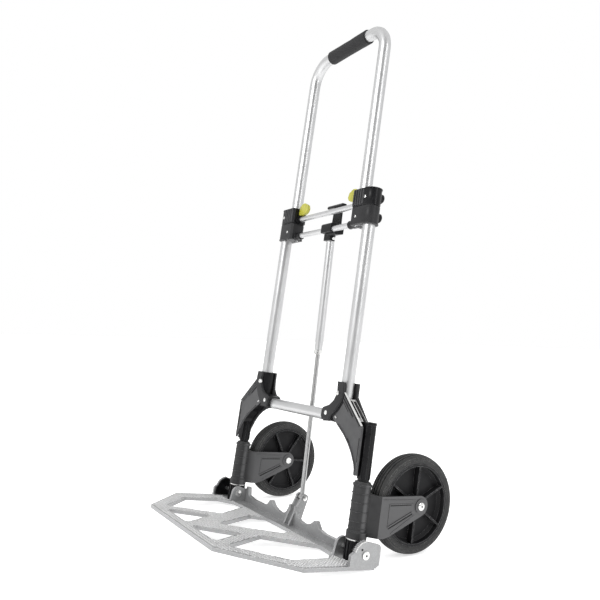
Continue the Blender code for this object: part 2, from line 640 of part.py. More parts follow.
def wheel(side, tag, joint):
    x = side * WHEEL_X
    start = (x - TYRE_HALF_WIDTH, WHEEL_Y, WHEEL_Z)
    end = (x + TYRE_HALF_WIDTH, WHEEL_Y, WHEEL_Z)
    width = 2 * TYRE_HALF_WIDTH
    half = [(RIM_R + GAP, width - 0.0010), (0.0800, width), (0.0842, width - 0.0016),
            (0.0875, width - 0.0050), (0.0895, width - 0.0110), (WHEEL_R, width / 2)]
    other = [(radius, width - height) for radius, height in reversed(half[:-1])]
    tyre = turned("tyre_" + tag, half + other, start, end, rubber, 40, ring=True)
    ride(tyre, joint)

    rim_in = RIM_R - 0.0045
    hub = [(AXLE_R + 0.0006, width), (0.0130, width), (0.0145, width - 0.006), (0.0180, width / 2 + 0.004),
           (rim_in - 0.006, width / 2 + 0.002), (rim_in, width / 2 + 0.006), (rim_in, width - 0.0012),
           (RIM_R, width - 0.0012)]
    back = [(radius, width - height) for radius, height in reversed(hub)]
    body = turned("wheel_hub_" + tag, hub + back, start, end, dark_plastic, 40, ring=True)
    for i in range(6):
        angle = math.radians(60 * i + (30 if side < 0 else 0))
        spoke = box("spoke_" + tag + str(i), (-0.0150, -0.0016, 0.0100), (0.0150, 0.0016, rim_in + 0.002))
        spoke.data.transform(Matrix.Translation((x, WHEEL_Y, WHEEL_Z)) @ Matrix.Rotation(angle, 4, "X"))
        join(body, spoke)
    ride(body, joint)


# ---------------------------------------------------------------- sliding handle
def handle_tube():
    bend = HANDLE_TUBE_X - HANDLE_BEND_R
    points = [(HANDLE_TUBE_X, HANDLE_TUBE_BOTTOM)]
    points += arc((bend, HANDLE_BAR_Z - HANDLE_BEND_R), HANDLE_BEND_R, 0, 90, 12)
    route = points + [(-x, z) for x, z in reversed(points)]
    curve = bpy.data.curves.new("handle_tube", "CURVE")
    curve.dimensions = "3D"
    curve.bevel_depth = TUBE_R
    curve.bevel_resolution = 4
    spline = curve.splines.new("POLY")
    spline.points.add(len(route) - 1)
    for point, (x, z) in zip(spline.points, route):
        point.co = (x, 0.0, z, 1.0)
    tube = mesh_from(add_object("handle_tube", curve))
    tube.data.materials.append(tube_metal)
    smooth(tube)
    wall = tube.modifiers.new("wall", "SOLIDIFY")
    wall.thickness = TUBE_WALL
    wall.offset = -1.0
    ride(tube, handle_joint)

    ends = (GRIP_HALF_LENGTH, -GRIP_HALF_LENGTH)
    profile = [(GRIP_R - 0.0015, ends[0]), (GRIP_R, ends[0] - 0.002), (GRIP_R, ends[1] + 0.002),
               (GRIP_R - 0.0015, ends[1]), (TUBE_R + GAP, ends[1]), (TUBE_R + GAP, ends[0])]
    grip = turned("foam_grip", profile, (0, 0, HANDLE_BAR_Z), (1, 0, HANDLE_BAR_Z), foam, 32, ring=True)
    ride(grip, handle_joint)


def lower_block(side, tag):
    name = "lower_block_" + tag
    main_x = side * MAIN_TUBE_X
    handle_x = side * HANDLE_TUBE_X
    block = slab(name, [block_outline(side)], "xy", *LOWER_BLOCK_Z, black_plastic, bevel=0.0012)
    join(block, block_socket(name + "_socket", side, LOWER_CROSS_Z))
    cut(block, cylinder(name + "_main", TUBE_R + GAP, (main_x, 0, 0.5), (main_x, 0, 0.75)))
    cut(block, cylinder(name + "_handle", TUBE_R + GAP, (handle_x, 0, HANDLE_TUBE_BOTTOM - GAP),
                        (handle_x, 0, 0.75)))
    cut(block, cross_bore(name + "_cross", side, LOWER_CROSS_Z))
    ride(block, handle_joint)
    ride(rear_bumper("rear_bumper_lower_" + tag, side * 0.1500, 0.6320), handle_joint)


def rod_y(z):
    return EYE_Y - ROD_TILT * (z - EYE_Z)


def rod_point(z):
    return (0, rod_y(z), z)


def centre_clamp():
    outline = rounded([(-0.0080, 0.6130), (0.0040, 0.6130), (0.0080, 0.6095), (0.0259, 0.6140),
                       (0.0259, 0.6290), (0.0180, 0.6330), (-0.0050, 0.6330), (-0.0080, 0.6300)], 0.002)
    clamp = slab("centre_clamp", [outline], "yz", -0.0020, 0.0340, black_plastic)
    yoke = [(0.0079, 0.6010), (0.0225, 0.6010), (0.0235, 0.6200), (0.0079, 0.6200)]
    join(clamp, slab("clamp_yoke", [yoke], "yz", -0.0106, 0.0106))
    cut(clamp, cylinder("clamp_cross", CROSS_TUBE_R + GAP, (-0.04, 0, LOWER_CROSS_Z),
                        (0.04, 0, LOWER_CROSS_Z), segments=24))
    cut(clamp, cylinder("clamp_tube", YOKE_R, rod_point(0.55), rod_point(ROD_TUBE_Z[1] + GAP)))
    slot_y = rod_y(0.6)
    cut(clamp, box("clamp_slot", (-YOKE_R, slot_y, 0.55), (YOKE_R, 0.05, ROD_TUBE_Z[1] + 0.0006)))
    ride(clamp, handle_joint)

    ride(pipe("lower_cross_tube", CROSS_TUBE_R, 0.001, (-BLOCK_FACE_X, 0, LOWER_CROSS_Z),
              (BLOCK_FACE_X, 0, LOWER_CROSS_Z), tube_metal, 24), handle_joint)
    guide = pipe("rod_guide_tube", ROD_TUBE_R, ROD_TUBE_WALL, rod_point(ROD_TUBE_Z[0]),
                 rod_point(ROD_TUBE_Z[1]), tube_metal, 28)
    ride(guide, guide_joint)

    y, z = rod_point(0.6070)[1:]
    profile = [(0.0, 0.0020), (0.0030, 0.0016), (0.0040, 0.0), (0.0, 0.0)]
    ride(turned("yoke_rivet", profile, (0.0106 + GAP, y, z), (1, y, z), bright_steel, 20), handle_joint)


def push_rod():
    rod = cylinder("push_rod", ROD_R, rod_point(EYE_Z), rod_point(ROD_TOP_Z), bright_steel, 20)
    join(rod, cylinder("rod_eye", EYE_R, (-0.0062, EYE_Y, EYE_Z), (0.0062, EYE_Y, EYE_Z), segments=24))
    ride(rod, rod_joint)


# ---------------------------------------------------------------- assembly
toe_plate()
handle_tube()
centre_clamp()
push_rod()
hook_plate()
ride(pipe("lower_crossbar", CROSSBAR_R, TUBE_WALL, (-CROSSBAR_HALF, 0, CROSSBAR_Z),
          (CROSSBAR_HALF, 0, CROSSBAR_Z), tube_metal, 28), base)
ride(pipe("upper_cross_tube", CROSS_TUBE_R, 0.001, (-BLOCK_FACE_X, 0, UPPER_CROSS_Z),
          (BLOCK_FACE_X, 0, UPPER_CROSS_Z), tube_metal, 24), base)
for side, tag in ((-1, "L"), (1, "R")):
    main_tube(side, tag)
    side_bracket(side, tag)
    post_and_foot(side, tag)
    upper_block(side, tag)
    release_lever(side, tag)
    lower_block(side, tag)
    fork_joint = make_empty("fork_swivel_axis_" + tag, (side * POST_X, POST_Y, 0.09), base)
    wheel_joint = make_empty("wheel_axis_" + tag, (side * WHEEL_X, WHEEL_Y, WHEEL_Z), fork_joint)
    wheel_fork(side, tag, fork_joint)
    wheel(side, tag, wheel_joint)
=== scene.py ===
import json
import math
import random

import bmesh
import bpy
from mathutils import Matrix, Vector
from mathutils.bvhtree import BVHTree


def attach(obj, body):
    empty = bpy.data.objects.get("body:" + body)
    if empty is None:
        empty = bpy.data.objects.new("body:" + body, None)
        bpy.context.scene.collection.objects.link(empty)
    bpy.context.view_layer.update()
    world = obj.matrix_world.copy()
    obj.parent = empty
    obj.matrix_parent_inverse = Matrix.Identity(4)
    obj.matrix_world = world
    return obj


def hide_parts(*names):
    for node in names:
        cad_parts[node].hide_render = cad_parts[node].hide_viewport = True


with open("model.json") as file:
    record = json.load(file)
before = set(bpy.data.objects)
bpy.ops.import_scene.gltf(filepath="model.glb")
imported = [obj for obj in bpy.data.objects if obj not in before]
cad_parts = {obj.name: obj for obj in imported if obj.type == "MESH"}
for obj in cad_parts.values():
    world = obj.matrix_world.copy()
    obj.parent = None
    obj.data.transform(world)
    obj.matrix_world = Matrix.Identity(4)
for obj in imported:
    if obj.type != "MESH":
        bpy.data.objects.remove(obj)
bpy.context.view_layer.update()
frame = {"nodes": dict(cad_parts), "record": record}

# The cart's own frame: X right, Y rear, Z along the tubes. The whole cart leans back.
LEAN = math.radians(7.7)
TILT = Matrix.Translation((0, 0.00154, 0.00284)) @ Matrix.Rotation(-LEAN, 4, "X")
SIDES = ((-1, "L"), (1, "R"))

MAIN_TUBE_X = 0.154
HANDLE_BAR_Z = 1.0410
TUBE_R = 0.0125
GRIP_R = 0.0152
GRIP_HALF = 0.067
BLOCK_R = 0.0172
BLOCK_FACE_X = 0.1115
BLOCK_RIB_Z = (0.6520, 0.6840)
UPPER_LIP_Z = 0.6840
LOWER_LIP_Z = 0.6137
UPPER_CROSS_Z = 0.6589
LOWER_CROSS_Z = 0.6202
POST_X, POST_Y = 0.2265, 0.006
SLEEVE_R = 0.0158
WHEEL_X, WHEEL_Y, WHEEL_Z = 0.2308, 0.1202, 0.1042
ARM_OUT = 0.0255
PLATE_T = 0.0065
TREAD_PITCH = 0.0064
TREAD_FRONT_Y = -0.2245
TREAD_DEPTH = 0.215
TREAD_CLEAR = 0.0040         # bare margin kept about every lozenge
PIVOT_Y, PIVOT_Z = -0.0030, 0.0240
PLATE_HALF_WIDTH = 0.2690
BRACKET_OUT = 0.0165         # rear wall's outer face
WEB_OUT = -0.0146            # front web's outer face
SECTOR_R = 0.0245
SECTOR_TEETH = 9
EYE_Y, EYE_Z = 0.0366, 0.0605
ROD_TILT = 0.032
GUIDE_END_Z = 0.358
AXLE_REACH = 0.0306          # from the middle of the wheel to the face of the axle's head
BOLT_FACE_X = 0.2717
SINK = -0.0003               # how far a trim piece goes into the face it stands on


# ---------------------------------------------------------------- node helpers
class Graph:
    """A short way to write a material's nodes."""

    def __init__(self, name, roughness, metallic=0.0, colour=(0.5, 0.5, 0.5)):
        self.material = bpy.data.materials.new(name)
        self.material.use_nodes = True
        self.tree = self.material.node_tree
        self.shader = self.tree.nodes["Principled BSDF"]
        self.put("Roughness", roughness)
        self.put("Metallic", metallic)
        self.put("Base Color", (*colour, 1.0))
        self.material.diffuse_color = (*colour, 1.0)
        places = self.tree.nodes.new("ShaderNodeTexCoord").outputs
        self.coords, self.normal = places["Object"], places["Normal"]

    def put(self, socket, value):
        self.shader.inputs[socket].default_value = value

    def node(self, kind, inputs=None, **settings):
        made = self.tree.nodes.new("ShaderNode" + kind)
        for key, value in settings.items():
            setattr(made, key, value)
        for key, value in (inputs or {}).items():
            if isinstance(value, bpy.types.NodeSocket):
                self.tree.links.new(value, made.inputs[key])
            else:
                made.inputs[key].default_value = value
        return made

    def link(self, output, socket):
        self.tree.links.new(output, self.shader.inputs[socket])

    def stretched(self, scale):
        """Object coordinates stood up along the tubes and stretched."""
        return self.node("Mapping", {"Vector": self.coords, "Rotation": (LEAN, 0, 0),
                                     "Scale": scale}).outputs[0]

    def noise(self, scale, detail=3.0, rough=0.55, vector=None):
        return self.node("TexNoise", {"Vector": vector or self.coords, "Scale": scale,
                                      "Detail": detail, "Roughness": rough}).outputs["Fac"]

    def cells(self, scale):
        return self.node("TexVoronoi", {"Vector": self.coords, "Scale": scale}).outputs["Distance"]

    def facing(self, axis):
        """How squarely the surface faces along an axis, either way: 0 to 1."""
        part = self.node("SeparateXYZ", {0: self.normal}).outputs[axis]
        return self.math("ABSOLUTE", part, 0.0)

    def ramp(self, value, low, high, dark, light):
        made = self.node("MapRange", {"Value": value, "From Min": low, "From Max": high,
                                      "To Min": dark, "To Max": light})
        return made.outputs["Result"]

    def over(self, factor, under, colour):
        """A colour laid over another one, or over what a node gives."""
        made = self.node("Mix", {"Factor": factor}, data_type="RGBA")
        if isinstance(under, bpy.types.NodeSocket):
            self.tree.links.new(under, made.inputs["A"])
        else:
            made.inputs["A"].default_value = (*under, 1.0)
        made.inputs["B"].default_value = (*colour, 1.0)
        return made.outputs["Result"]

    def clouded(self, cloud, first, second):
        """Two shades that follow a cloudy mask."""
        return self.over(self.ramp(cloud, 0.3, 0.7, 0.0, 1.0), first, second)

    def math(self, operation, first, second):
        made = self.node("Math", operation=operation)
        for index, value in enumerate((first, second)):
            if isinstance(value, bpy.types.NodeSocket):
                self.tree.links.new(value, made.inputs[index])
            else:
                made.inputs[index].default_value = value
        return made.outputs[0]

    def edges(self, radius, strength):
        """A mask that is 1 on outer edges, where a rounded normal leaves the true one; the pale tint
        laid there is partly edge wear and partly a painted highlight.
        """
        soft = self.node("Bevel", {"Radius": radius}, samples=4).outputs["Normal"]
        true = self.node("NewGeometry").outputs["Normal"]
        dot = self.node("VectorMath", {0: soft, 1: true}, operation="DOT_PRODUCT").outputs["Value"]
        edge_breakup = self.noise(140.0, 4.0, 0.65)
        mask = self.ramp(dot, 0.985, 0.80, 0.0, strength)
        return self.math("MULTIPLY", mask, self.ramp(edge_breakup, 0.35, 0.65, 0.2, 1.0))

    def bump(self, height, distance, strength=1.0):
        made = self.node("Bump", {"Height": height, "Distance": distance, "Strength": strength})
        self.link(made.outputs["Normal"], "Normal")


def brushed(name, stretch, low, high, roughness):
    """Satin anodised tube: fine draw lines along its length, faint cloudiness."""
    g = Graph(name, roughness[0], 0.92, low)
    lines = g.noise(1.0, 2.0, 0.5, g.stretched(stretch))
    cloud = g.noise(16.0, 2.0)
    g.link(g.clouded(cloud, low, high), "Base Color")
    both = g.math("ADD", lines, g.math("MULTIPLY", cloud, 0.5))
    g.link(g.ramp(both, 0.45, 1.05, *roughness), "Roughness")
    g.bump(lines, 0.000003, 0.5)
    return g.material


def moulded(name, dark, light, edge_wear_and_highlight_tone, roughness, shine=0.25, edge_wear_and_highlight_amount=0.5, rim=0.0007, painted_highlight=None):
    """Moulded plastic: spark-eroded grain, slow shade changes, edges paler, partly rubbed and partly a
    painted highlight.

    Where a painted highlight is given, the faces that look outward along X are painted to that paler
    shade as if lit.
    """
    g = Graph(name, roughness[0], 0.0, dark)
    g.put("Specular IOR Level", shine)
    cloud = g.noise(35.0, 4.0, 0.6)
    fine = g.noise(900.0, 2.0, 0.5)
    base = g.clouded(cloud, dark, light)
    if painted_highlight:
        # painted highlight: faces that look along X are painted paler
        base = g.over(g.ramp(g.facing("X"), 0.93, 0.995, 0.0, 1.0), base, painted_highlight)
    # edges painted paler: partly edge wear, partly a painted highlight
    g.link(g.over(g.edges(rim, edge_wear_and_highlight_amount), base, edge_wear_and_highlight_tone), "Base Color")
    both = g.math("ADD", g.math("MULTIPLY", fine, 0.4), cloud)
    g.link(g.ramp(both, 0.4, 1.0, *roughness), "Roughness")
    g.bump(fine, 0.00010, 0.8)
    return g.material


def cast(name, painted_side_light):
    """Cast aluminium: pebbled skin with dark pits, side walls painted to a shade of their own as
    painted light, edges paler, partly rubbed and partly a painted highlight.
    """
    g = Graph(name, 0.45, 0.6, (0.46, 0.465, 0.47))
    pebble = g.noise(520.0, 3.0, 0.6)
    grain = g.cells(330.0)
    cloud = g.noise(28.0, 5.0, 0.6)
    base = g.clouded(cloud, (0.36, 0.362, 0.365), (0.56, 0.562, 0.565))
    pits = g.over(g.ramp(grain, 0.30, 0.55, 0.0, 0.6), base, (0.20, 0.202, 0.205))
    # painted light: faces that turn away from Z take the side-wall shade
    walls = g.over(g.ramp(g.facing("Z"), 0.75, 0.35, 0.0, 0.75), pits, painted_side_light)
    # edges painted near white: partly rubbed metal, partly a painted highlight
    g.link(g.over(g.edges(0.0010, 0.9), walls, (0.90, 0.90, 0.90)), "Base Color")
    both = g.math("ADD", g.math("MULTIPLY", pebble, 0.5), cloud)
    g.link(g.ramp(both, 0.5, 1.1, 0.34, 0.56), "Roughness")
    g.bump(g.math("ADD", pebble, g.math("MULTIPLY", grain, -0.8)), 0.00035, 0.9)
    return g.material


def plated(name, low, high, roughness):
    """Zinc-plated steel: small crystals and fine scratches."""
    g = Graph(name, roughness[0], 1.0, high)
    crystal = g.cells(420.0)
    scratch = g.noise(1.0, 3.0, 0.5, g.stretched((900.0, 120.0, 60.0)))
    g.link(g.over(g.ramp(crystal, 0.0, 0.8, 0.0, 1.0), low, high), "Base Color")
    g.link(g.ramp(scratch, 0.3, 0.7, *roughness), "Roughness")
    g.bump(scratch, 0.00002)
    return g.material


def foam_skin(name):
    """Closed-cell foam: open pores, matt with a soft sheen."""
    g = Graph(name, 0.88, 0.0, (0.045, 0.045, 0.047))
    cloud = g.noise(60.0, 4.0, 0.6)
    deep = g.ramp(g.cells(1100.0), 0.0, 0.45, 0.0, 1.0)
    mask = g.math("MULTIPLY", deep, g.ramp(cloud, 0.3, 0.7, 0.6, 1.0))
    g.link(g.over(mask, (0.006, 0.006, 0.0065), (0.022, 0.022, 0.023)), "Base Color")
    g.put("Specular IOR Level", 0.2)
    g.link(g.ramp(cloud, 0.3, 0.7, 0.80, 0.95), "Roughness")
    g.put("Sheen Weight", 0.06)
    g.put("Sheen Roughness", 0.6)
    g.bump(g.math("ADD", deep, g.math("MULTIPLY", g.noise(500.0, 3.0), 0.8)), 0.00022)
    return g.material


def rubber_skin(name):
    """Tyre rubber: dusty, finely pitted, edges paler, partly scuffed and partly a painted highlight."""
    g = Graph(name, 0.75, 0.0, (0.07, 0.07, 0.07))
    dust = g.noise(45.0, 5.0, 0.65)
    pit = g.noise(1200.0, 2.0, 0.5)
    base = g.over(g.ramp(dust, 0.3, 0.72, 0.0, 1.0), (0.020, 0.020, 0.021), (0.042, 0.042, 0.041))
    # edges painted paler: partly scuffs, partly a painted highlight
    g.link(g.over(g.edges(0.0011, 0.9), base, (0.24, 0.24, 0.235)), "Base Color")
    g.put("Specular IOR Level", 0.3)
    both = g.math("ADD", dust, g.math("MULTIPLY", pit, 0.3))
    g.link(g.ramp(both, 0.4, 1.0, 0.58, 0.85), "Roughness")
    g.bump(g.math("ADD", pit, g.math("MULTIPLY", dust, 0.5)), 0.00012, 0.8)
    return g.material


def lever_skin(name):
    """Yellow-green nylon: glossy, with faint flow marks."""
    g = Graph(name, 0.36, 0.0, (0.50, 0.47, 0.04))
    flow = g.noise(1.0, 4.0, 0.6, g.stretched((160.0, 160.0, 40.0)))
    fine = g.noise(1000.0, 2.0)
    base = g.clouded(flow, (0.30, 0.285, 0.022), (0.44, 0.425, 0.055))
    # edges painted paler: partly wear, partly a painted highlight
    g.link(g.over(g.edges(0.0006, 0.5), base, (0.76, 0.75, 0.28)), "Base Color")
    both = g.math("ADD", flow, g.math("MULTIPLY", fine, 0.3))
    g.link(g.ramp(both, 0.4, 1.0, 0.28, 0.46), "Roughness")
    g.put("Coat Weight", 0.15)
    g.put("Coat Roughness", 0.25)
    g.bump(fine, 0.00005)
    return g.material


SATIN = ((0.52, 0.522, 0.526), (0.57, 0.572, 0.576), (0.36, 0.42))
TUBE = brushed("tube_satin", (420.0, 420.0, 8.0), *SATIN)
CROSS = brushed("cross_satin", (8.0, 420.0, 420.0), *SATIN)
# side walls: painted shade on the plate, painted highlight on the tread lozenges
CAST = cast("cast_plate", (0.33, 0.332, 0.335))
TREAD = cast("cast_tread", (0.80, 0.80, 0.80))
STEEL = plated("zinc_steel", (0.64, 0.64, 0.63), (0.80, 0.80, 0.79), (0.20, 0.40))
ROD = plated("rod_steel", (0.34, 0.34, 0.34), (0.44, 0.44, 0.44), (0.26, 0.42))
# painted highlight: the arms' X-facing faces are painted paler; edges partly worn, partly a painted
# highlight
ARM = moulded("fork_moulding", (0.026, 0.026, 0.027), (0.040, 0.040, 0.041), (0.22, 0.22, 0.225),
              (0.40, 0.58), shine=0.22, edge_wear_and_highlight_amount=0.7, rim=0.0009, painted_highlight=(0.095, 0.095, 0.097))
DARK = moulded("dark_moulding", (0.032, 0.032, 0.033), (0.050, 0.050, 0.052), (0.20, 0.20, 0.205),
               (0.40, 0.58))
# edges painted paler: partly wear, partly a painted highlight
BLACK = moulded("black_moulding", (0.004, 0.004, 0.0045), (0.009, 0.009, 0.010),
                (0.18, 0.18, 0.185), (0.22, 0.40), shine=0.16, edge_wear_and_highlight_amount=0.6)
GREY = moulded("grey_moulding", (0.016, 0.016, 0.017), (0.027, 0.027, 0.028), (0.17, 0.17, 0.175),
               (0.36, 0.54), shine=0.2)
WEB = moulded("web_moulding", (0.060, 0.060, 0.062), (0.085, 0.085, 0.087), (0.24, 0.24, 0.245),
              (0.42, 0.60))
# painted shade: a darker copy of the dark moulding deepens the hubs' recesses; pale rims partly wear,
# partly a painted highlight
HUB_SHADED = moulded("hub_shaded_moulding", (0.010, 0.010, 0.011), (0.020, 0.020, 0.021), (0.34, 0.34, 0.345),
              (0.42, 0.60), shine=0.14, edge_wear_and_highlight_amount=0.9, rim=0.0011)
FOAM = foam_skin("foam_grip_skin")
RUBBER = rubber_skin("tyre_skin")
LIME = lever_skin("lever_nylon")

SLOT_SKIN = {"tube_metal": TUBE, "cast_metal": CAST, "bright_steel": STEEL, "dark_plastic": DARK,
             "black_plastic": BLACK, "foam": FOAM, "tyre_rubber": RUBBER, "lever_plastic": LIME}
OWN_SKIN = {"lower_crossbar": CROSS, "upper_cross_tube": CROSS, "lower_cross_tube": CROSS,
            "lower_block_L": GREY, "lower_block_R": GREY, "wheel_hub_L": HUB_SHADED, "wheel_hub_R": HUB_SHADED,
            "wheel_fork_L": ARM, "wheel_fork_R": ARM, "push_rod": ROD}


# ---------------------------------------------------------------- CAD nodes: skins and soft edges
def smoothing_group():
    """Joins the triangles' corners, then smooths the surface up to an angle."""
    group = bpy.data.node_groups.new("smooth_by_angle", "GeometryNodeTree")
    group.interface.new_socket("Geometry", in_out="INPUT", socket_type="NodeSocketGeometry")
    group.interface.new_socket("Geometry", in_out="OUTPUT", socket_type="NodeSocketGeometry")
    nodes, links = group.nodes, group.links
    start = nodes.new("NodeGroupInput")
    end = nodes.new("NodeGroupOutput")
    merge = nodes.new("GeometryNodeMergeByDistance")
    merge.inputs["Distance"].default_value = 0.00002
    drop = nodes.new("GeometryNodeRemoveAttribute")
    drop.inputs["Name"].default_value = "custom_normal"
    faces = nodes.new("GeometryNodeSetShadeSmooth")
    faces.domain = "FACE"
    edges = nodes.new("GeometryNodeSetShadeSmooth")
    edges.domain = "EDGE"
    edges.inputs["Shade Smooth"].default_value = False
    angle = nodes.new("GeometryNodeInputMeshEdgeAngle")
    sharp = nodes.new("FunctionNodeCompare")
    sharp.operation = "GREATER_THAN"
    sharp.inputs[1].default_value = math.radians(32)
    links.new(start.outputs[0], drop.inputs["Geometry"])
    links.new(drop.outputs[0], merge.inputs["Geometry"])
    links.new(merge.outputs[0], faces.inputs["Geometry"])
    links.new(faces.outputs[0], edges.inputs["Geometry"])
    links.new(angle.outputs["Unsigned Angle"], sharp.inputs[0])
    links.new(sharp.outputs[0], edges.inputs["Selection"])
    links.new(edges.outputs[0], end.inputs[0])
    return group


SMOOTHING = smoothing_group()
SLOT_OF = {row["node"]: row["material_slot"] for row in frame["record"]["subparts"]}


for node_name, node in frame["nodes"].items():
    skin = OWN_SKIN.get(node_name) or SLOT_SKIN[SLOT_OF[node_name]]
    node.data.materials.clear()
    node.data.materials.append(skin)
    node.modifiers.new("smooth", "NODES").node_group = SMOOTHING


# ---------------------------------------------------------------- shapes
def piece_from(name, verts, faces, skin, body, slot, sharp=35.0):
    """A finished piece drawn in the cart's frame."""
    mesh = bpy.data.meshes.new(name)
    mesh.from_pydata([tuple(v) for v in verts], [], faces)
    work = bmesh.new()
    work.from_mesh(mesh)
    bmesh.ops.recalc_face_normals(work, faces=work.faces)
    work.to_mesh(mesh)
    work.free()
    mesh.transform(TILT)
    mesh.materials.append(skin)
    mesh.polygons.foreach_set("use_smooth", [True] * len(mesh.polygons))
    mesh.set_sharp_from_angle(angle=math.radians(sharp))
    made = bpy.data.objects.new(name, mesh)
    bpy.context.scene.collection.objects.link(made)
    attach(made, body)
    return made


def axes_of(direction):
    """Two directions square to this one."""
    way = Vector(direction).normalized()
    side = way.cross(Vector((0, 0, 1)) if abs(way.z) < 0.9 else Vector((1, 0, 0))).normalized()
    return way, side, way.cross(side)


def band(rows, steps, ring=False):
    """Faces of a skin over rows of points: each row closes on itself, and so do the rows of a ring."""
    faces = []
    for row in range(rows if ring else rows - 1):
        a, b = row * steps, (row + 1) % rows * steps
        for i in range(steps):
            j = (i + 1) % steps
            faces.append((a + i, a + j, b + j, b + i))
    if not ring:
        faces.append(tuple(range(steps)))
        faces.append(tuple((rows - 1) * steps + i for i in range(steps)))
    return faces


def lathe(centre, direction, profile, steps, ring=False):
    """Points and faces of a profile of (radius, height) turned about an axis."""
    way, side, other = axes_of(direction)
    verts = []
    for radius, height in profile:
        for i in range(steps):
            turn = 2 * math.pi * i / steps
            verts.append(Vector(centre) + way * height
                         + (side * math.cos(turn) + other * math.sin(turn)) * radius)
    return verts, band(len(profile), steps, ring)


def merged(*shapes):
    """Several closed shapes as one piece's points and faces."""
    verts, faces = [], []
    for points, sides in shapes:
        start = len(verts)
        verts += points
        faces += [tuple(start + i for i in face) for face in sides]
    return verts, faces


def prism(points, place, low, high):
    """A solid between two copies of an outline; place(u, v, height) gives each point."""
    verts = [place(u, v, height) for height in (low, high) for u, v in points]
    return verts, band(2, len(points))


def ridge(path, width, top, place, base=SINK):
    """A raised rib with sloped flanks along a flat path; place(u, v, height) gives the point."""
    verts = []
    count = len(path)
    knee = base + (top - base) * 0.4
    for i, (u, v) in enumerate(path):
        before, after = path[max(i - 1, 0)], path[min(i + 1, count - 1)]
        du, dv = after[0] - before[0], after[1] - before[1]
        length = math.hypot(du, dv)
        nu, nv = -dv / length, du / length
        for share, height in ((0.5, base), (0.5, knee), (0.30, top),
                              (-0.30, top), (-0.5, knee), (-0.5, base)):
            verts.append(place(u + nu * width * share, v + nv * width * share, height))
    return verts, band(count, 6)


def face_along_y(side, face, way=1):
    """Places (x, z) on a flat face that looks along Y."""
    return lambda u, v, height: Vector((side * u, face + way * height, v))


def face_along_x(face, way):
    """Places (y, z) on a flat face that looks along X."""
    return lambda u, v, height: Vector((face + way * height, u, v))


def slab(side, points, low, high):
    """A flat shape in the X, Z plane with a thickness along Y."""
    return prism(points, face_along_y(side, 0.0), low, high)


# ---------------------------------------------------------------- tyres with tread grooves
def tyre_profile():
    """Half section from the bead to the middle of the tread, mirrored: (radius, offset)."""
    half = [(0.0738, 0.0150), (0.0742, 0.0163), (0.0756, 0.0171), (0.0772, 0.0176), (0.0788, 0.0178),
            (0.0796, 0.0178), (0.0800, 0.0167), (0.0808, 0.0167), (0.0812, 0.0176), (0.0832, 0.0171),
            (0.0836, 0.0159), (0.0844, 0.0158), (0.0848, 0.0164), (0.0862, 0.0151), (0.0873, 0.0133),
            (0.0877, 0.0124)]

    def crown(x):
        return 0.0900 - 0.0024 * (x / 0.0126) ** 2

    for x in (0.0094, 0.0032):
        lip, foot = crown(x) - 0.0005, crown(x) - 0.0030
        half += [(crown(x + 0.0019), x + 0.0019), (lip, x + 0.0016), (foot, x + 0.0012),
                 (foot, x - 0.0012), (lip, x - 0.0016), (crown(x - 0.0019), x - 0.0019),
                 (crown(x - 0.0031), x - 0.0031)]
    half.pop()
    return half + [(radius, -x) for radius, x in reversed(half)]


for side, tag in SIDES:
    centre = (side * WHEEL_X, WHEEL_Y, WHEEL_Z)
    verts, faces = lathe(centre, (1, 0, 0), tyre_profile(), 120, ring=True)
    tyre = piece_from("ribbed_tyre_" + tag, verts, faces, RUBBER, "wheel_" + tag, "tyre_rubber", 28.0)
    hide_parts("tyre_" + tag)


# ---------------------------------------------------------------- foam grip
def foam_grip():
    """A soft sleeve: rolled ends, a gentle hollow for the hand and small dents."""
    rings, steps = 64, 72
    roll = 0.0016
    wave = random.Random(11)
    dents = [(wave.uniform(-0.06, 0.06), wave.uniform(0, 2 * math.pi),
              wave.uniform(0.006, 0.012), wave.uniform(-0.00018, 0.00014)) for _ in range(46)]
    outer = []
    for i in range(rings + 1):
        x = -GRIP_HALF + roll + (2 * GRIP_HALF - 2 * roll) * i / rings
        outer.append((x, GRIP_R - 0.00025 - 0.0002 * math.cos(math.pi * x / GRIP_HALF)))
    profile = [(-GRIP_HALF + 0.0004, TUBE_R + 0.0002)]
    for k in range(5):
        turn = math.pi / 2 * k / 5
        profile.append((-GRIP_HALF + roll - roll * math.cos(turn),
                        GRIP_R - 0.0003 - roll + roll * math.sin(turn)))
    profile += outer + [(-x, radius) for x, radius in reversed(profile)]
    way, across, other = axes_of((1, 0, 0))
    verts = []
    for x, radius in profile:
        for i in range(steps):
            turn = 2 * math.pi * i / steps
            push = 0.0
            for at, angle, size, depth in dents:
                round_to = (turn - angle + math.pi) % (2 * math.pi) - math.pi
                apart = math.hypot(x - at, radius * round_to)
                push += depth * math.exp(-(apart / size) ** 2)
            reach = radius + (push if abs(x) < GRIP_HALF - 0.002 else 0.0)
            spot = Vector((0, 0, HANDLE_BAR_Z)) + way * x
            out = across * math.cos(turn) + other * math.sin(turn)
            verts.append(spot + out * min(reach, GRIP_R))
    faces = band(len(profile), steps, ring=True)
    grip = piece_from("foam_hand_grip", verts, faces, FOAM, "handle", "foam", 60.0)
    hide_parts("foam_grip")


foam_grip()


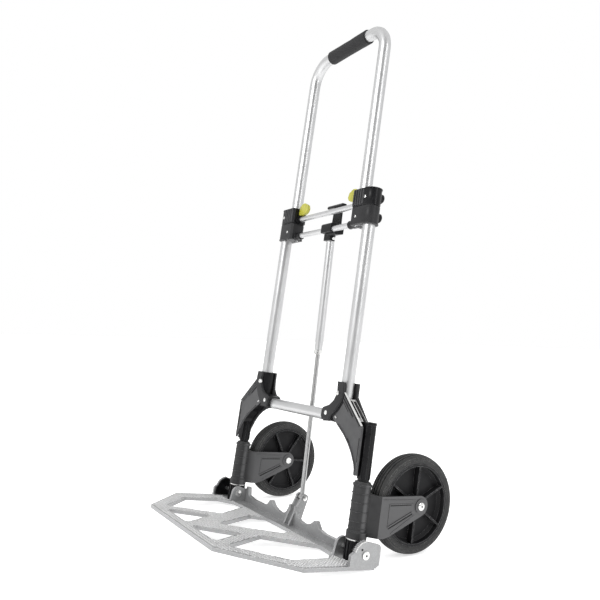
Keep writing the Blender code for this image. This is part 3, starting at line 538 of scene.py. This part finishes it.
# ---------------------------------------------------------------- toe plate tread
def tread():
    """Small raised lozenges over every solid part of the plate's upper face."""
    plate = frame["nodes"]["toe_plate"].data
    tree = BVHTree.FromPolygons([v.co.copy() for v in plate.vertices],
                                [tuple(p.vertices) for p in plate.polygons])
    down = (TILT.to_3x3() @ Vector((0, 0, -1))).normalized()
    start = 0.05

    def solid(x, y):
        hit = tree.ray_cast(TILT @ Vector((x, y, PLATE_T + start)), down)
        return hit[0] is not None and abs(hit[3] - start) < 0.0002

    def clear(x, y):
        turns = [k * math.pi / 4 for k in range(8)]
        return all(solid(x + TREAD_CLEAR * math.cos(t), y + TREAD_CLEAR * math.sin(t)) for t in turns)

    shapes = []
    long, short, height = 0.0030, 0.0013, 0.0012
    foot = [(long, 0), (0, short), (-long, 0), (0, -short)]
    for row in range(int(TREAD_DEPTH / TREAD_PITCH * 2)):
        y = TREAD_FRONT_Y + row * TREAD_PITCH / 2
        slant = math.radians(45 if row % 2 else -45)
        c, s = math.cos(slant), math.sin(slant)
        for column in range(-52, 53):
            x = column * TREAD_PITCH + (TREAD_PITCH / 2 if row % 2 else 0.0)
            if not clear(x, y):
                continue
            verts = []
            for along, across, z in ((1, 1, PLATE_T - 0.0001), (0.6, 0.5, PLATE_T + height)):
                for u, v in foot:
                    u, v = u * along, v * across
                    verts.append(Vector((x + u * c - v * s, y + u * s + v * c, z)))
            shapes.append((verts, band(2, 4)))
    piece_from("plate_tread", *merged(*shapes), TREAD, "toe_plate", "cast_metal")


tread()


# ---------------------------------------------------------------- screws
def cross_screw(name, centre, direction, radius, body):
    """A low domed screw head with a black cross painted where its recess is in shade."""
    way, across, other = axes_of(direction)
    middle = Vector(centre)
    profile = [(radius, 0.0), (radius, 0.0004), (radius * 0.86, 0.0009), (radius * 0.55, 0.0012),
               (0.0004, 0.0013)]
    head = lathe(middle, direction, profile, 28)
    piece_from(name, *head, STEEL, body, "bright_steel", 50.0)
    corners = ((-0.5, -0.09), (0.5, -0.09), (0.5, 0.09), (-0.5, 0.09))
    recess_shade_bars = []
    for first, second in ((across, other), (other, across)):
        verts = []
        for height, along in ((0.0006, 1.0), (0.00142, 0.9)):
            verts += [middle + way * height + first * a * radius * along + second * b * radius
                      for a, b in corners]
        recess_shade_bars.append((verts, band(2, 4)))
    # painted shade: black bars stand for the shaded cross recess
    piece_from(name + "_recess_shade", *merged(*recess_shade_bars), BLACK, body, "black_plastic")


for side, tag in SIDES:
    cross_screw("block_screw_upper_" + tag, (side * 0.1525, -BLOCK_R + SINK, 0.6660), (0, -1, 0),
                0.0032, "frame")
    cross_screw("block_screw_lower_" + tag, (side * 0.1285, -BLOCK_R - 0.0001, 0.6292), (0, -1, 0),
                0.0027, "handle")


# ---------------------------------------------------------------- ribs, rims and caps
def rib_bar(x, half, face, reach, low, high):
    """A vertical rib with sloped flanks on a flat face that looks along Y."""
    verts = []
    for z, shrink in ((low, 0.6), (low + 0.0008, 1.0), (high - 0.0008, 1.0), (high, 0.6)):
        for across, out in ((half, 0.0), (half * 0.55, shrink), (-half * 0.55, shrink), (-half, 0.0)):
            verts.append(Vector((x + across, face + reach * out, z)))
    return verts, band(4, 4)


def hoop(centre, direction, inner, outer, low, high, steps=48):
    """A thin ring with rounded rims about an axis."""
    edge = min(outer - inner, high - low) * 0.35
    profile = [(inner, low), (outer - edge, low), (outer, low + edge), (outer, high - edge),
               (outer - edge, high), (inner, high)]
    return lathe(centre, direction, profile, steps, ring=True)


def block_lip(side, z):
    """A thin lip round the outline of a block."""
    outline = []
    for k in range(17):
        turn = math.pi * (k / 16 - 0.5)
        outline.append((MAIN_TUBE_X + BLOCK_R * math.cos(turn), BLOCK_R * math.sin(turn)))
    outline += [(BLOCK_FACE_X + 0.004, BLOCK_R), (BLOCK_FACE_X + 0.004, -BLOCK_R)]
    count = len(outline)
    verts = []
    for index, (u, v) in enumerate(outline):
        before, after = outline[index - 1], outline[(index + 1) % count]
        way = Vector((after[1] - before[1], before[0] - after[0])).normalized()
        for out, up in ((-0.0004, -0.0011), (0.0008, -0.0007), (0.0008, 0.0007), (-0.0004, 0.0011)):
            verts.append(Vector((side * (u + way.x * out), v + way.y * out, z + up)))
    return verts, band(count, 4, ring=True)


def block_trim(side, tag):
    """Vertical ribs on the upper block, front and rear, painted paler than the black block as a painted
    highlight, and a lip round each block.
    """
    ribs = []
    for number in range(5):
        x = side * (0.1172 + 0.0072 * number)
        ribs.append(rib_bar(x, 0.0023, -BLOCK_R + 0.0001, -0.0021, *BLOCK_RIB_Z))
        ribs.append(rib_bar(x, 0.0023, BLOCK_R - 0.0001, 0.0021, *BLOCK_RIB_Z))
    # painted highlight: the black block's ribs take the paler dark moulding
    piece_from("block_ribs_highlight_" + tag, *merged(*ribs), DARK, "frame", "black_plastic", 25.0)
    upper, lower = block_lip(side, UPPER_LIP_Z), block_lip(side, LOWER_LIP_Z)
    piece_from("upper_block_lip_" + tag, *upper, BLACK, "frame", "black_plastic")
    piece_from("lower_block_lip_" + tag, *lower, GREY, "handle", "black_plastic")


STRAP_RIGHT = [(0.1378, 0.2409), (0.1465, 0.2479), (0.1548, 0.2568), (0.1637, 0.2697), (0.1669, 0.2780),
               (0.1686, 0.2881)]
STRAP_LEFT = [(0.1440, 0.3055), (0.1459, 0.2880), (0.1431, 0.2777), (0.1381, 0.2691), (0.1263, 0.2598),
              (0.1080, 0.2537), (0.1042, 0.2490), (0.1036, 0.2370), (0.1075, 0.2308), (0.1300, 0.2300)]
STRAP_COVER = [(0.1465, 0.3040), (0.1480, 0.2880), (0.1450, 0.2765), (0.1395, 0.2672),
               (0.1272, 0.2575), (0.1090, 0.2515), (0.1062, 0.2470), (0.1060, 0.2390),
               (0.1088, 0.2335), (0.1290, 0.2325), (0.1350, 0.2410), (0.1440, 0.2490),
               (0.1520, 0.2580), (0.1605, 0.2705), (0.1640, 0.2785), (0.1655, 0.2881),
               (0.1642, 0.3040)]
ARCH = [(0.1420, 0.2350), (0.1576, 0.2255), (0.1800, 0.2112), (0.1972, 0.1963), (0.2101, 0.1814),
        (0.2205, 0.1647), (0.2262, 0.1475)]
RAIL = ((0.1700, 0.2867), (0.2306, 0.2334))


def beside_rail(offset, first, last):
    """Two points beside the rail: inward by offset, between two shares of its length."""
    (x0, z0), (x1, z1) = RAIL
    in_x, in_z = -0.660 * offset, -0.751 * offset
    return [(x0 + (x1 - x0) * t + in_x, z0 + (z1 - z0) * t + in_z) for t in (first, last)]


def bracket_front(side, tag):
    """The front wall: a thick strap over both bolts, a recessed web with ribs, black strips as painted
    shade in its grooves and under the strap, a bright outer rail.
    """
    strap = slab(side, STRAP_LEFT + STRAP_RIGHT + [(0.1676, 0.2979), (0.1665, 0.3055)],
                 -0.0170, -0.0130)
    cover = slab(side, STRAP_COVER, -0.0177, -0.0168)
    strap_piece = piece_from("bracket_strap_" + tag, *merged(strap, cover), GREY, "frame",
                             "dark_plastic")
    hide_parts("bracket_front_" + tag)

    place = face_along_y(side, WEB_OUT, -1)
    outline = STRAP_RIGHT[::-1] + ARCH + [(0.2318, 0.1475), (0.2322, 0.2300), RAIL[1], RAIL[0]]
    shapes = [slab(side, outline, WEB_OUT, -0.0131)]
    for offset, first, last in ((0.0069, 0.05, 0.93), (0.0123, 0.08, 0.60)):
        shapes.append(ridge(beside_rail(offset, first, last), 0.0024, 0.0016, place))
    bead = [(u + 0.0014, v + 0.0016) for u, v in ARCH[1:]]
    shapes.append(ridge(bead, 0.0026, 0.0022, place))
    shapes.append(ridge([(0.2300, 0.2290), (0.2300, 0.1500)], 0.0018, 0.0016, place))
    piece_from("bracket_web_" + tag, *merged(*shapes), WEB, "frame", "dark_plastic", 30.0)

    # painted shade: raised black strips where the grooves beside the rail, by the arch and down the
    # edge lie in shade
    shade_strips = []
    for offset, first, last in ((0.0042, 0.03, 0.95), (0.0096, 0.06, 0.62), (0.0150, 0.09, 0.42)):
        shade_strips.append(ridge(beside_rail(offset, first, last), 0.0026, 0.0008, place))
    shade_strips.append(ridge([(0.1935, 0.2065), (0.1995, 0.1985), (0.2040, 0.1905)], 0.0030, 0.0006, place))
    shade_strips.append(ridge([(0.2265, 0.2120), (0.2270, 0.1700)], 0.0020, 0.0006, place))
    # painted shadow: a black strip along the strap's lower edge
    strap_shadow = [(u + 0.0016, v - 0.0016) for u, v in STRAP_RIGHT[:-1]]
    shade_strips.append(ridge(strap_shadow, 0.0034, 0.0006, place))
    piece_from("bracket_shade_strips_" + tag, *merged(*shade_strips), BLACK, "frame", "dark_plastic", 30.0)

    rail = ridge(beside_rail(0.0006, 0.0, 1.0), 0.0016, 0.0024, place, base=-0.0010)
    clip = ridge([(0.1475, 0.2405), (0.1515, 0.2372)], 0.0026, 0.0012, place)
    screw = lathe((side * 0.1497, -0.0176, 0.2838), (0, -1, 0),
                  [(0.0043, 0.0), (0.0043, 0.0014), (0.0034, 0.0024), (0.0012, 0.0027)], 28)
    piece_from("bracket_rail_" + tag, *merged(rail, clip, screw), STEEL, "frame", "bright_steel", 30.0)


def bracket_rear(side, tag):
    """Ribs on the rear wall."""
    place = face_along_y(side, BRACKET_OUT)
    strap = [(0.1480, 0.3040), (0.1478, 0.2835), (0.1430, 0.2700), (0.1350, 0.2585),
             (0.1185, 0.2440), (0.1120, 0.2400)]
    shapes = [ridge(strap, 0.0110, 0.0012, place)]
    for path in ([(0.1690, 0.2625), (0.2080, 0.2280)], [(0.1655, 0.2580), (0.2045, 0.2235)]):
        shapes.append(ridge(path, 0.0013, 0.0010, place))
    turns = [math.radians(a) for a in range(30, 72, 5)]
    bead = [(0.118 + 0.1140 * math.cos(t), 0.118 + 0.1140 * math.sin(t)) for t in turns]
    shapes.append(ridge(bead, 0.0018, 0.0012, place))
    piece_from("bracket_rear_ribs_" + tag, *merged(*shapes), DARK, "frame", "dark_plastic", 30.0)


def brace(side, tag):
    """The channel between collar and post: a black strip on its floor and a black sheet, painted shade
    for its slot, with two bright rails and end plates.
    """
    start, end = Vector((0.1712, 0.2742)), Vector((0.2124, 0.2384))
    run = end - start
    out = Vector((0.652, 0.758))

    def strip(first, last, bottom, top, near, far):
        points = [start + run * share + out * height for share, height in
                  ((first, bottom), (first, top), (last, top), (last, bottom))]
        return slab(side, points, near, far)

    # painted shade: a black sheet and strip fill the slot where it is in shade
    slot_shade_sheet = slab(side, [(0.1758, 0.2517), (0.2027, 0.2289), (0.2002, 0.2258), (0.1733, 0.2485)],
                   -0.0124, 0.0124)
    dark = piece_from("brace_slot_shade_" + tag,
                      *merged(strip(0.0, 1.0, -0.0006, 0.0012, -0.0127, 0.0127), slot_shade_sheet),
                      BLACK, "frame", "bright_steel")
    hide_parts("brace_strip_" + tag)
    rails = [strip(-0.02, 1.02, 0.0010, 0.0034, -0.0028, -0.0014),
             strip(0.0, 1.0, 0.0010, 0.0026, 0.0072, 0.0080),
             strip(0.84, 1.0, 0.0010, 0.0024, -0.0110, -0.0030),
             strip(0.0, 0.08, 0.0010, 0.0022, -0.0110, 0.0060)]
    piece_from("brace_rails_" + tag, *merged(*rails), STEEL, "frame", "bright_steel")
    hatch = [strip(share, share + 0.015, 0.0022, 0.0026, -0.0108, -0.0032)
             for share in (0.86, 0.905, 0.95)]
    hatch.append(strip(0.72, 0.79, 0.0010, 0.0032, 0.0004, 0.0050))
    hatch.append(strip(0.0, 1.0, 0.0010, 0.0018, -0.0118, -0.0110))
    piece_from("brace_hatch_" + tag, *merged(*hatch), GREY, "frame", "dark_plastic")
    tail = slab(side, [(0.2140, 0.1855), (0.2180, 0.1900), (0.2195, 0.1500), (0.2205, 0.1465),
                       (0.2240, 0.1465), (0.2246, 0.2250), (0.2160, 0.2330), (0.2140, 0.2250)],
                -0.0129, -0.0050)
    piece_from("bracket_tail_" + tag, *tail, GREY, "frame", "dark_plastic")


def cross_sockets(side, tag):
    """Collars that hold the ends of the cross tubes."""
    bore = 0.0063
    for name, body, z, length, wide in (("upper", "frame", UPPER_CROSS_Z, 0.0120, 0.0078),
                                        ("lower", "handle", LOWER_CROSS_Z, 0.0200, 0.0088)):
        profile = [(bore, 0.0), (wide, 0.0), (wide, 0.0045), (wide - 0.0005, 0.0050),
                   (wide - 0.0007, length - 0.0030), (wide - 0.0002, length - 0.0024),
                   (wide - 0.0002, length - 0.0006), (wide - 0.0008, length), (bore, length)]
        shape = lathe((side * BLOCK_FACE_X, 0.0, z), (-side, 0, 0), profile, 40, ring=True)
        piece_from(name + "_cross_socket_" + tag, *shape, BLACK, body, "black_plastic", 30.0)


def gear_ear(side, tag):
    """A painted highlight along the edge of the ear's teeth, and the black sector behind it."""
    teeth = []
    for i in range(SECTOR_TEETH):
        for share, reach in ((0.0, 0.93), (0.25, 1.0), (0.55, 1.0), (0.8, 0.93)):
            angle = math.radians(165 - 72 * (i + share) / SECTOR_TEETH)
            teeth.append((SECTOR_R * reach * math.cos(angle), SECTOR_R * reach * math.sin(angle)))

    def scaled(share):
        return [(PIVOT_Y + u * share, PIVOT_Z + v * share) for u, v in teeth]

    # painted highlight: a bright steel ridge along the teeth's edge
    rim = ridge(scaled(0.965), 0.0012, 0.0008, face_along_x(side * PLATE_HALF_WIDTH, side))
    piece_from("ear_teeth_highlight_" + tag, *rim, STEEL, "toe_plate", "cast_metal", 25.0)
    outline = [(-0.0300, 0.0075), (-0.0290, 0.0240)] + scaled(0.93)
    outline += [(0.0225, 0.0388), (0.0260, 0.0355), (0.0260, 0.0080)]
    sector = prism(outline, face_along_x(0.0, side), 0.2596, 0.2626)
    piece_from("gear_sector_" + tag, *sector, BLACK, "toe_plate", "black_plastic")


def post_trim(side, tag):
    """A dark cap over the pin's head, a stop lug and eight mould seams on the barrel."""
    axis = (side * POST_X, POST_Y, 0.0)
    upright = (0, 0, 1)
    cap = lathe(axis, upright, [(0.0102, 0.2362), (0.0119, 0.2362), (0.0122, 0.2370),
                                (0.0122, 0.2402), (0.0114, 0.2412), (0.0060, 0.2416)], 40)
    lug = prism([(-0.0022, 0.2195), (0.0022, 0.2195), (0.0022, 0.2245), (-0.0022, 0.2245)],
                lambda u, v, height: Vector((axis[0] + u, POST_Y + height, v)), 0.0108, 0.0136)
    seams = []
    for k in range(8):
        turn = 2 * math.pi * (k + 0.5) / 8
        foot = (axis[0] + 0.0113 * math.cos(turn), POST_Y + 0.0113 * math.sin(turn), 0.0)
        seams.append(lathe(foot, upright, [(0.0006, 0.1420), (0.0009, 0.1440), (0.0009, 0.2340),
                                           (0.0006, 0.2355)], 8))
    piece_from("post_cap_" + tag, *merged(cap, lug, *seams), BLACK, "frame", "black_plastic", 40.0)


def fork_trim(side, tag):
    """Hoops on the sleeve, and panel lines on both arms: raised ones, and two black strips as painted
    shade in grooves.
    """
    axis = (side * POST_X, POST_Y, 0.0)
    raised = []
    for low, tall in ((0.1300, 0.0045), (0.1175, 0.0014), (0.1020, 0.0014), (0.0865, 0.0014),
                      (0.0700, 0.0014), (0.0590, 0.0020)):
        raised.append(hoop(axis, (0, 0, 1), SLEEVE_R - 0.0010, SLEEVE_R + 0.0014, low, low + tall))
    shade_strips = []
    for way in (-1, 1):
        place = face_along_x(side * WHEEL_X + way * ARM_OUT, way)
        for path, width, top in (([(0.0480, 0.1060), (0.1020, 0.1085)], 0.0014, 0.0008),
                                 ([(0.0480, 0.1060), (0.0480, 0.0670)], 0.0014, 0.0008),
                                 ([(0.0480, 0.0670), (0.1010, 0.0935)], 0.0026, 0.0014),
                                 ([(0.0330, 0.1135), (0.1080, 0.1150)], 0.0016, 0.0008),
                                 ([(0.0560, 0.0560), (0.1080, 0.0885)], 0.0014, 0.0007)):
            raised.append(ridge(path, width, top, place))
        # painted shade: black strips where two grooves lie in shade
        shade_strips.append(ridge([(0.0500, 0.0640), (0.1030, 0.0905)], 0.0026, 0.0004, place))
        shade_strips.append(ridge([(0.0500, 0.1035), (0.0990, 0.1060)], 0.0018, 0.0003, place))
    body = "fork_" + tag
    piece_from("fork_grooves_" + tag, *merged(*shade_strips), BLACK, body, "dark_plastic", 30.0)
    piece_from("fork_trim_" + tag, *merged(*raised), ARM, body, "dark_plastic", 30.0)


def hex_socket(name, centre, direction, radius, body):
    """A hexagonal recess in a bolt head, painted black as its shade, with its bright rim."""
    rim = hoop(centre, direction, radius, radius + 0.0007, -0.0004, 0.00016, 24)
    piece_from(name + "_rim", *rim, STEEL, body, "bright_steel")
    # painted shade: a flat black hexagon stands for the socket's shade
    socket_shade = lathe(centre, direction, [(radius, -0.0004), (radius, 0.00006), (radius * 0.5, 0.00003)], 6)
    piece_from(name + "_socket", *socket_shade, BLACK, body, "black_plastic", 20.0)


for side, tag in SIDES:
    block_trim(side, tag)
    bracket_front(side, tag)
    bracket_rear(side, tag)
    brace(side, tag)
    cross_sockets(side, tag)
    gear_ear(side, tag)
    post_trim(side, tag)
    fork_trim(side, tag)
    outward = (side, 0, 0)
    hex_socket("axle_" + tag, (side * (WHEEL_X + AXLE_REACH), WHEEL_Y, WHEEL_Z), outward, 0.0020,
               "fork_" + tag)
    hex_socket("pivot_" + tag, (side * BOLT_FACE_X, PIVOT_Y, PIVOT_Z), outward, 0.0019, "frame")
    pin = lathe((side * PLATE_HALF_WIDTH, -0.0118, 0.0334), (side, 0, 0),
                [(0.0019, SINK), (0.0019, 0.0003), (0.0012, 0.0006)], 20)
    piece_from("ear_stop_pin_" + tag, *pin, BLACK, "toe_plate", "black_plastic")


def guide_ferrule():
    """The crimped ring at the lower end of the guide tube."""
    way = Vector((0, -ROD_TILT, 1)).normalized()
    foot = Vector((0, EYE_Y - ROD_TILT * (GUIDE_END_Z - EYE_Z), GUIDE_END_Z))
    profile = [(0.0053, -0.0012), (0.0080, -0.0012), (0.0096, 0.0), (0.0096, 0.0040), (0.0090, 0.0048),
               (0.0090, 0.0075), (0.0086, 0.0080), (0.0053, 0.0080)]
    shape = lathe(foot, way, profile, 40, ring=True)
    piece_from("guide_ferrule", *shape, STEEL, "guide_tube", "tube_metal", 30.0)


guide_ferrule()


# ---------------------------------------------------------------- camera, floor and light
def camera():
    lens = bpy.data.cameras.new("camera")
    lens.sensor_width = 36.0
    lens.lens = 38.48
    lens.clip_end = 60.0
    made = bpy.data.objects.new("camera", lens)
    right = Vector((0.53662, 0.84334, 0.02868))
    up = Vector((0.03019, -0.05316, 0.99813))
    back = Vector((0.84328, -0.53476, -0.05404))
    pose = Matrix((right, up, back)).transposed().to_4x4()
    pose.translation = (1.1282, -0.6880, 0.3932)
    made.matrix_world = pose
    bpy.context.scene.collection.objects.link(made)
    bpy.context.scene.camera = made


def floor():
    mesh = bpy.data.meshes.new("floor")
    reach = 30.0
    corners = [(-reach, -reach, 0), (reach, -reach, 0), (reach, reach, 0), (-reach, reach, 0)]
    mesh.from_pydata(corners, [], [(0, 1, 2, 3)])
    g = Graph("floor_paint", 0.7, 0.0, (0.93, 0.93, 0.93))
    cloud = g.noise(3.0, 4.0)
    g.link(g.over(cloud, (0.92, 0.92, 0.92), (0.94, 0.94, 0.94)), "Base Color")
    g.put("Emission Color", (1.0, 1.0, 1.0, 1.0))
    g.put("Emission Strength", 0.6)
    mesh.materials.append(g.material)
    made = bpy.data.objects.new("floor", mesh)
    made.location.z = -0.0002
    bpy.context.scene.collection.objects.link(made)


def area(name, position, target, size, watts):
    lamp = bpy.data.lights.new(name, "AREA")
    lamp.shape = "RECTANGLE"
    lamp.size, lamp.size_y = size
    lamp.energy = watts
    made = bpy.data.objects.new(name, lamp)
    made.location = position
    made.rotation_euler = (Vector(target) - Vector(position)).to_track_quat("-Z", "Y").to_euler()
    bpy.context.scene.collection.objects.link(made)


def studio():
    world = bpy.data.worlds.new("studio")
    bpy.context.scene.world = world
    world.use_nodes = True
    nodes, links = world.node_tree.nodes, world.node_tree.links
    way = nodes.new("ShaderNodeTexCoord")
    front = nodes.new("ShaderNodeVectorMath")
    front.operation = "DOT_PRODUCT"
    front.inputs[1].default_value = (0.845, -0.535, 0.0)
    shade = nodes.new("ShaderNodeMapRange")
    shade.interpolation_type = "SMOOTHSTEP"
    for key, value in (("From Min", 0.25), ("From Max", 0.92), ("To Min", 1.0), ("To Max", 0.22)):
        shade.inputs[key].default_value = value
    seen = nodes.new("ShaderNodeLightPath")
    either = nodes.new("ShaderNodeMath")
    either.operation = "MAXIMUM"
    links.new(way.outputs["Generated"], front.inputs[0])
    links.new(front.outputs["Value"], shade.inputs["Value"])
    links.new(seen.outputs["Is Camera Ray"], either.inputs[0])
    links.new(shade.outputs["Result"], either.inputs[1])
    links.new(either.outputs[0], nodes["Background"].inputs["Strength"])
    nodes["Background"].inputs["Color"].default_value = (1.0, 1.0, 1.0, 1.0)
    area("key", (0.6, -2.6, 2.3), (0, 0, 0.5), (1.2, 1.2), 52.0)
    area("side", (2.6, 0.6, 1.6), (0, 0, 0.5), (0.7, 1.8), 18.0)
    bpy.context.scene.view_settings.view_transform = "Standard"


camera()
floor()
studio()
